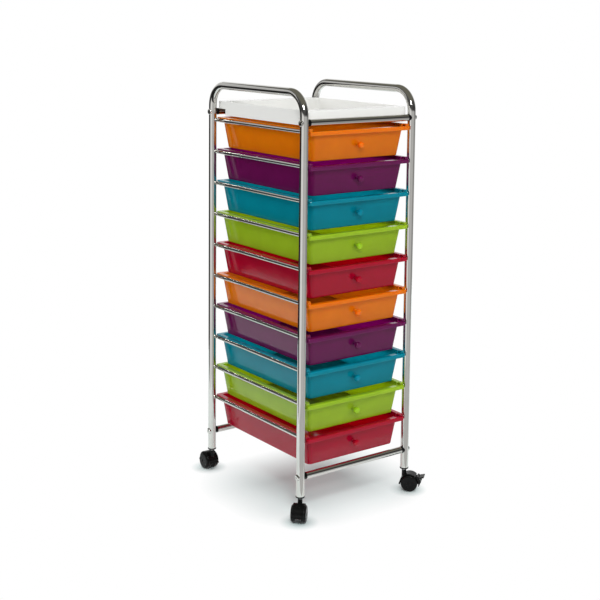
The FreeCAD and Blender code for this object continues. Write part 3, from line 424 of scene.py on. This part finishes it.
def make_bolts():
    """Eight bolts, one through each leg at each cross bar."""
    blank = one_bolt()
    bm = bmesh.new()
    count = 0
    for side in (-1, 1):
        for depth in (-1, 1):
            for height in bar_heights:
                count += 1
                start = len(bm.verts)
                bm.from_mesh(blank)
                bm.verts.ensure_lookup_table()
                matrix = (
                    Matrix.Translation((side * LEG_OUTER, depth * LEG_Y, height))
                    @ Matrix.Rotation(side * math.pi / 2, 4, "Y")
                    @ Matrix.Rotation(BOLT_TURN * count, 4, "Z")
                )
                bmesh.ops.transform(bm, matrix=matrix, verts=bm.verts[start:])
    bmesh.ops.dissolve_degenerate(bm, dist=SLIVER, edges=bm.edges)
    mesh = bpy.data.meshes.new("cross_head_bolts")
    bm.to_mesh(mesh)
    bm.free()
    smooth(mesh, BOLT_CRISP)
    piece = new_piece("cross_head_bolts", mesh, chrome, "frame")
    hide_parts("frame_bolts")


# Weld beads where the rails meet the legs

BEAD_ROOM = Vector((1.5, 3.6, 2.7)) * MM
BEAD_UNEVEN = 0.16
BEAD_LUMPS = 2.3
BEAD_CHANGE = 91.0
BEAD_RIPPLE = 0.05
BEAD_RIPPLES = 11.0
BEAD_CRISP = 60


def make_welds():
    """An uneven bead at each end of each rail."""
    bm = bmesh.new()
    for side in (-1, 1):
        for depth in (-1, 1):
            for level in range(len(DRAWERS)):
                middle = Vector((side * (LEG_X - TUBE_RADIUS), depth * LEG_Y, TOP_RAIL - level * RAIL_PITCH))
                made = bmesh.ops.create_icosphere(bm, subdivisions=3, radius=1.0)["verts"]
                for vert in made:
                    lump = 1.0 + BEAD_UNEVEN * noise.noise(vert.co * BEAD_LUMPS + middle * BEAD_CHANGE)
                    ripple = 1.0 + BEAD_RIPPLE * math.sin(BEAD_RIPPLES * vert.co.y)
                    vert.co = middle + Vector(vert.co * BEAD_ROOM) * lump * ripple
    mesh = bpy.data.meshes.new("rail_weld_beads")
    bm.to_mesh(mesh)
    bm.free()
    smooth(mesh, BEAD_CRISP)
    new_piece("rail_weld_beads", mesh, chrome, "frame")


# Domed plugs that close the rail ends

PLUG_RADIUS = 3.9 * MM
PLUG_DEPTH = 3.0 * MM
PLUG_DOME = 0.5 * MM
PLUG_INSET = 0.3 * MM
PLUG_STEPS = 6
PLUG_SEGMENTS = 24
PLUG_CRISP = 40


def make_rail_plugs():
    """A plug just inside each end of each rail."""
    bm = bmesh.new()
    rim = -PLUG_DOME - PLUG_INSET
    profile = [(0.0, -PLUG_DEPTH), (PLUG_RADIUS, -PLUG_DEPTH), (PLUG_RADIUS, rim)]
    for step in range(1, PLUG_STEPS):
        angle = math.pi / 2 * step / PLUG_STEPS
        profile.append((PLUG_RADIUS * math.cos(angle), rim + PLUG_DOME * math.sin(angle)))
    profile.append((0.0, -PLUG_INSET))
    for rails in ("left_drawer_rails", "right_drawer_rails"):
        low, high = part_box(rails)
        for end, turn in ((low.y, math.pi / 2), (high.y, -math.pi / 2)):
            for level in range(len(DRAWERS)):
                spot = Matrix.Translation(((low.x + high.x) / 2, end, TOP_RAIL - level * RAIL_PITCH))
                lathe(bm, profile, PLUG_SEGMENTS, spot @ Matrix.Rotation(turn, 4, "X"))
    bmesh.ops.recalc_face_normals(bm, faces=bm.faces)
    mesh = bpy.data.meshes.new("rail_end_plugs")
    bm.to_mesh(mesh)
    bm.free()
    smooth(mesh, PLUG_CRISP)
    new_piece("rail_end_plugs", mesh, chrome, "frame")


make_bolts()
make_welds()
make_rail_plugs()


# Camera at the photograph's viewing point

FRAME_PIXELS = 600.0
EYE = Vector((-1.6867, -2.2427, 1.1178))
YAW, PITCH, ROLL = (math.radians(angle) for angle in (36.140, 6.590, -0.574))
FOCAL_PIXELS = 1196.05
CENTRE_PIXEL = (292.97, 155.02)
SENSOR = 36.0

forward = Vector((math.sin(YAW) * math.cos(PITCH), math.cos(YAW) * math.cos(PITCH), -math.sin(PITCH)))
level_right = Vector((math.cos(YAW), -math.sin(YAW), 0.0))
level_down = forward.cross(level_right)
right = math.cos(ROLL) * level_right + math.sin(ROLL) * level_down
down = -math.sin(ROLL) * level_right + math.cos(ROLL) * level_down
lens = bpy.data.cameras.new("photo_camera")
lens.sensor_fit = "HORIZONTAL"
lens.sensor_width = SENSOR
lens.lens = FOCAL_PIXELS / FRAME_PIXELS * SENSOR
lens.shift_x = 0.5 - CENTRE_PIXEL[0] / FRAME_PIXELS
lens.shift_y = CENTRE_PIXEL[1] / FRAME_PIXELS - 0.5
camera = bpy.data.objects.new("photo_camera", lens)
camera.matrix_world = Matrix.Translation(EYE) @ Matrix((right, -down, -forward)).transposed().to_4x4()
SCENE.collection.objects.link(camera)
SCENE.camera = camera


# Floor, surroundings and lamps

FLOOR_LEFT, FLOOR_RIGHT = -0.80, 2.2
FLOOR_FRONT, FLOOR_BACK = -1.08, 1.25
FLOOR_TONE = (0.77, 0.85, 0.85)
FLOOR_LIFT = 0.25
# Painted shade: the camera sees the floor in this darker, cooler tone, which deepens the cart's real shadow
# and takes the red bounce out of it.
PAINTED_SHADOW_TONE = (0.66, 0.80, 0.79)
# The painted shadow's outline: a rounded box about the cart and a ring about each caster, with sizes given
# here rather than found by the lamps.
SHADOW_CENTRE = (0.0, -0.03, 0.0)
SHADOW_CORE = (0.075, 0.05, 0.0)
SHADOW_START, SHADOW_END = 0.010, 0.185
CASTER_START, CASTER_END = 0.012, 0.046
# Painted reflection: in reflections, the floor in front of MIRRORED_FRONT shows a plain grey level instead
# of the lit paper, like a dark card.
MIRRORED_FRONT = -0.33
MIRRORED_FADE = 0.01
PAINTED_FLOOR_REFLECTION = 0.60


def seen_in_things(tree):
    """1 for what a reflection or a clear body shows, and 0 for other light."""
    path = add_node(tree, "ShaderNodeLightPath")
    total = add_node(tree, "ShaderNodeMath", {"operation": "MAXIMUM"}, Value=path.outputs["Is Glossy Ray"])
    tree.links.new(path.outputs["Is Transmission Ray"], total.inputs[1])
    return total.outputs["Value"]


def distance(tree, point, steps):
    """The length of a vector after the given steps of vector arithmetic."""
    for operation, other in steps:
        step = add_node(tree, "ShaderNodeVectorMath", {"operation": operation}, Vector=point)
        if other:
            step.inputs[1].default_value = other
        point = step.outputs["Vector"]
    return add_node(tree, "ShaderNodeVectorMath", {"operation": "LENGTH"}, Vector=point).outputs["Value"]


def outside_shadow_patch(tree, point):
    """0 over a given patch around the cart and a ring around each caster, where the floor's shading shows in
    the painted shadow tone, and 1 on the open floor, which shows white.
    """
    cart = distance(tree, point, (
        ("SUBTRACT", SHADOW_CENTRE), ("ABSOLUTE", None), ("SUBTRACT", SHADOW_CORE),
        ("MAXIMUM", (0.0, 0.0, 0.0)),
    ))
    shade = spread(tree, cart, 0.0, 1.0, SHADOW_START, SHADOW_END)
    for corner in CASTERS:
        low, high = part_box(f"caster_{corner}_hood")
        middle = (low + high) / 2
        caster = distance(tree, point, (("SUBTRACT", (middle.x, middle.y, 0.0)),))
        clear = spread(tree, caster, 0.0, 1.0, CASTER_START, CASTER_END)
        shade = add_node(tree, "ShaderNodeMath", {"operation": "MULTIPLY"}, Value=shade).outputs["Value"]
        tree.links.new(clear, shade.node.inputs[1])
    return shade


def masked(tree, shader, kind, area, level):
    """The shader, with a plain grey level in its place for one kind of ray in one area."""
    factor = add_node(tree, "ShaderNodeMath", {"operation": "MULTIPLY"}, Value=kind)
    tree.links.new(area, factor.inputs[1])
    plain = add_node(tree, "ShaderNodeEmission", Color=(1.0, 1.0, 1.0, 1.0), Strength=level)
    mixed = add_node(tree, "ShaderNodeMixShader", Fac=factor.outputs["Value"])
    tree.links.new(shader, mixed.inputs[1])
    tree.links.new(plain.outputs["Emission"], mixed.inputs[2])
    return mixed.outputs["Shader"]


def make_floor():
    """A pale studio floor whose open area shows white and which keeps the cart's soft shadow, deepened and
    cooled by a painted shadow tone that only the camera sees.
    """
    bm = bmesh.new()
    corners = ((FLOOR_LEFT, FLOOR_FRONT), (FLOOR_RIGHT, FLOOR_FRONT), (FLOOR_RIGHT, FLOOR_BACK),
               (FLOOR_LEFT, FLOOR_BACK))
    bm.faces.new([bm.verts.new((x, y, 0.0)) for x, y in corners])
    mesh = bpy.data.meshes.new("studio_floor")
    bm.to_mesh(mesh)
    bm.free()
    material, tree, output = new_material("studio_floor")
    path = add_node(tree, "ShaderNodeLightPath")
    # Painted shade: camera rays get the darker shadow tone, other rays the floor's own tone.
    tone = blend_colours(tree, path.outputs["Is Camera Ray"], FLOOR_TONE, PAINTED_SHADOW_TONE)
    paper = add_node(tree, "ShaderNodeBsdfDiffuse", Color=tone)
    lift = add_node(tree, "ShaderNodeEmission", Color=(1.0, 1.0, 1.0, 1.0))
    strength = add_node(tree, "ShaderNodeMath", {"operation": "MULTIPLY"}, Value=seen_in_things(tree))
    strength.inputs[1].default_value = FLOOR_LIFT
    tree.links.new(strength.outputs["Value"], lift.inputs["Strength"])
    total = add_node(tree, "ShaderNodeAddShader")
    tree.links.new(paper.outputs["BSDF"], total.inputs[0])
    tree.links.new(lift.outputs["Emission"], total.inputs[1])
    coords = add_node(tree, "ShaderNodeTexCoord")
    open_floor = outside_shadow_patch(tree, coords.outputs["Object"])
    faded = masked(tree, total.outputs["Shader"], path.outputs["Is Camera Ray"], open_floor, 1.0)
    # Painted reflection: glossy rays see the front of the floor as a plain grey.
    axes = add_node(tree, "ShaderNodeSeparateXYZ", Vector=coords.outputs["Object"])
    front = spread(tree, axes.outputs["Y"], 1.0, 0.0, MIRRORED_FRONT - MIRRORED_FADE, MIRRORED_FRONT)
    darkened = masked(tree, faded, path.outputs["Is Glossy Ray"], front, PAINTED_FLOOR_REFLECTION)
    tree.links.new(darkened, output.inputs["Surface"])
    mesh.materials.append(material)
    floor = bpy.data.objects.new("studio_floor", mesh)
    SCENE.collection.objects.link(floor)


ROOM_LIGHT = 0.43
CEILING = (0.19, 0.185, 0.15)

# What reflections show in each compass direction, as degrees and a grey level, from the floor upwards
STEEP_RING = (
    (-180, 0.02), (-135, 0.05), (-100, 0.28), (-54, 0.33), (-20, 0.40), (20, 0.80), (60, 0.90), (107, 0.70),
    (115, 0.02), (180, 0.02),
)
LOW_RING = (
    (-180, 0.95), (-160, 1.00), (-142, 0.95), (-134, 0.52), (-115, 0.62), (-85, 0.66), (-54, 0.50),
    (-30, 0.25), (0, 0.50), (36, 1.00), (66, 1.00), (84, 0.50), (96, 0.02), (160, 0.02), (172, 0.90),
    (180, 0.95),
)
LEVEL_RING = (
    (-180, 0.95), (-160, 1.00), (-142, 0.95), (-134, 0.52), (-85, 0.62), (-66, 0.55), (-54, 0.10),
    (-20, 0.15), (10, 0.60), (36, 0.95), (72, 0.90), (96, 0.30), (120, 0.10), (160, 0.03), (172, 0.90),
    (180, 0.95),
)
RAISED_RING = (
    (-180, 0.06), (-126, 0.10), (-54, 0.04), (-20, 0.06), (10, 0.60), (36, 1.00), (84, 1.00), (100, 0.10),
    (180, 0.06),
)
HIGH_RING = (
    (-180, 0.10), (-126, 0.22), (-54, 0.06), (-20, 0.08), (10, 0.50), (36, 0.95), (76, 0.95), (90, 0.10),
    (180, 0.10),
)

# The rise over which each ring, and then the ceiling, takes over from the one below
LOW_RISE = (-0.37, -0.355)
LEVEL_RISE = (-0.09, -0.03)
RAISED_RISE = (0.0, 0.08)
HIGH_RISE = (0.24, 0.36)
CEILING_RISE = (0.52, 0.62)
RINGS = ((LOW_RISE, LOW_RING), (LEVEL_RISE, LEVEL_RING), (RAISED_RISE, RAISED_RING), (HIGH_RISE, HIGH_RING))


def ring_of(tree, turn, stops):
    """A grey level for each compass direction, from stops of (degrees, level)."""
    ring = add_node(tree, "ShaderNodeValToRGB", Fac=turn)
    marks = ring.color_ramp.elements
    for index, (angle, level) in enumerate(stops):
        mark = marks[index] if index in (0, len(stops) - 1) else marks.new((angle + 180) / 360)
        mark.color = (level, level, level, 1.0)
    return ring.outputs["Color"]


def make_surroundings():
    """White behind the object, even light on it, and the studio's walls and ceiling in its reflections."""
    world = bpy.data.worlds.new("studio")
    SCENE.world = world
    world.use_nodes = True
    tree = world.node_tree
    tree.nodes.clear()
    coords = add_node(tree, "ShaderNodeTexCoord")
    axes = add_node(tree, "ShaderNodeSeparateXYZ", Vector=coords.outputs["Generated"])
    around = add_node(tree, "ShaderNodeMath", {"operation": "ARCTAN2"})
    tree.links.new(axes.outputs["Y"], around.inputs[0])
    tree.links.new(axes.outputs["X"], around.inputs[1])
    turn = spread(tree, around.outputs["Value"], 0.0, 1.0, -math.pi, math.pi)
    height = axes.outputs["Z"]
    walls = ring_of(tree, turn, STEEP_RING)
    for rise, stops in RINGS:
        walls = blend_colours(tree, spread(tree, height, 0.0, 1.0, *rise), walls, ring_of(tree, turn, stops))
    mirrored = blend_colours(tree, spread(tree, height, 0.0, 1.0, *CEILING_RISE), walls, CEILING)
    path = add_node(tree, "ShaderNodeLightPath")
    even = blend_colours(tree, path.outputs["Is Glossy Ray"], (ROOM_LIGHT,) * 3, mirrored)
    plain = add_node(tree, "ShaderNodeMath", {"operation": "MAXIMUM"}, Value=path.outputs["Is Camera Ray"])
    tree.links.new(path.outputs["Is Transmission Ray"], plain.inputs[1])
    shown = blend_colours(tree, plain.outputs["Value"], even, (1.0, 1.0, 1.0))
    back = add_node(tree, "ShaderNodeBackground", Color=shown, Strength=1.0)
    output = tree.nodes.new("ShaderNodeOutputWorld")
    tree.links.new(back.outputs["Background"], output.inputs["Surface"])


def make_lamp(name, place, aim, size, watts, mirrored):
    """A soft lamp of a width and height that is aimed at a point and may show in reflections."""
    lamp = bpy.data.lights.new(name, "AREA")
    lamp.shape, lamp.energy = "RECTANGLE", watts
    lamp.size, lamp.size_y = size
    holder = bpy.data.objects.new(name, lamp)
    holder.location = place
    holder.rotation_euler = (Vector(aim) - Vector(place)).to_track_quat("-Z", "Y").to_euler()
    holder.visible_camera = False
    holder.visible_glossy = mirrored
    SCENE.collection.objects.link(holder)


# Name, place, aim, width and height, watts, and whether reflections show the lamp
LAMPS = (
    ("top_softbox", (0.0, 0.1, 2.6), (0.0, 0.0, 0.4), (0.9, 0.9), 5.5, False),
    ("left_softbox", (-2.4, 1.1, 1.3), (0.0, 0.0, 0.5), (1.2, 1.2), 17.0, False),
    ("right_softbox", (2.3, 1.3, 1.2), (0.0, 0.0, 0.5), (1.2, 1.2), 30.0, False),
    ("front_softbox", (0.7, -2.7, 1.2), (0.0, 0.0, 0.5), (1.1, 1.1), 18.0, False),
    ("strip_softbox", (-0.42, 0.50, 1.14), (-0.15, 0.15, 0.955), (0.9, 0.32), 0.50, True),
    ("key_softbox", (-1.25, -1.95, 2.1), (0.0, 0.0, 0.5), (0.6, 0.6), 30.0, True),
)

make_floor()
make_surroundings()
for lamp_row in LAMPS:
    make_lamp(*lamp_row)
SCENE.view_settings.view_transform = "Standard"
